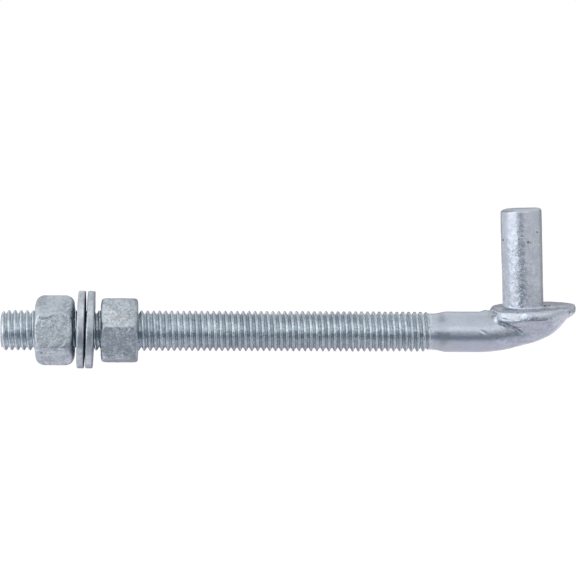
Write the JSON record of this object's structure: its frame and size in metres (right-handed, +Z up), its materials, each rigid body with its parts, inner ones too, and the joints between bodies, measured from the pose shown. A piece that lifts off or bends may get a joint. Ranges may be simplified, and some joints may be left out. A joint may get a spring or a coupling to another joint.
{
  "type": "j-bolt hinge pin",
  "caption": "Galvanised bolt-through gate hinge pin: threaded shank bent up into a round pin over a forged collar, with hexagon nuts and flat washers on the thread.",
  "frame": {"origin": "on the collar's seat, where the pin's axis passes through it", "axes": "+Z up along the pin, the shank runs out towards -X and rises 2.5 degrees to its free end"},
  "size_m": [0.2237, 0.0336, 0.0559],
  "materials": {
    "forged_zinc": "satin hot-dip galvanised",
    "nut_zinc": "satin hot-dip galvanised, rough in places",
    "washer_zinc": "satin hot-dip galvanised"
  },
  "bodies": {
    "bolt": {"j_bolt": "forged_zinc"},
    "outer_washer_body": {"outer_washer": "washer_zinc"},
    "outer_nut_body": {"outer_nut": "nut_zinc"},
    "inner_washer_body": {"inner_washer": "washer_zinc"},
    "inner_nut_body": {"inner_nut": "nut_zinc"}
  },
  "joints": [
    {"name": "outer_washer_slide", "type": "slide", "parent": "bolt", "child": "outer_washer_body", "axis": [0.999, 0, -0.0436], "range_m": [-0.0135, 0]},
    {"name": "outer_nut_turn", "type": "hinge", "parent": "outer_washer_body", "child": "outer_nut_body", "pos_m": [-0.18223, 0, -0.00244], "axis": [0.999, 0, -0.0436], "range_deg": [-2100, 0]},
    {"name": "inner_washer_slide", "type": "slide", "parent": "bolt", "child": "inner_washer_body", "axis": [0.999, 0, -0.0436], "range_m": [0, 0.11]},
    {"name": "inner_nut_turn", "type": "hinge", "parent": "inner_washer_body", "child": "inner_nut_body", "pos_m": [-0.1575, 0, -0.00352], "axis": [0.999, 0, -0.0436], "range_deg": [0, 17100]}
  ],
  "couplings": [
    {"joint": "outer_washer_slide", "follows": "outer_nut_turn", "m_per_rad": 0.0003675},
    {"joint": "inner_washer_slide", "follows": "inner_nut_turn", "m_per_rad": 0.0003675}
  ]
}
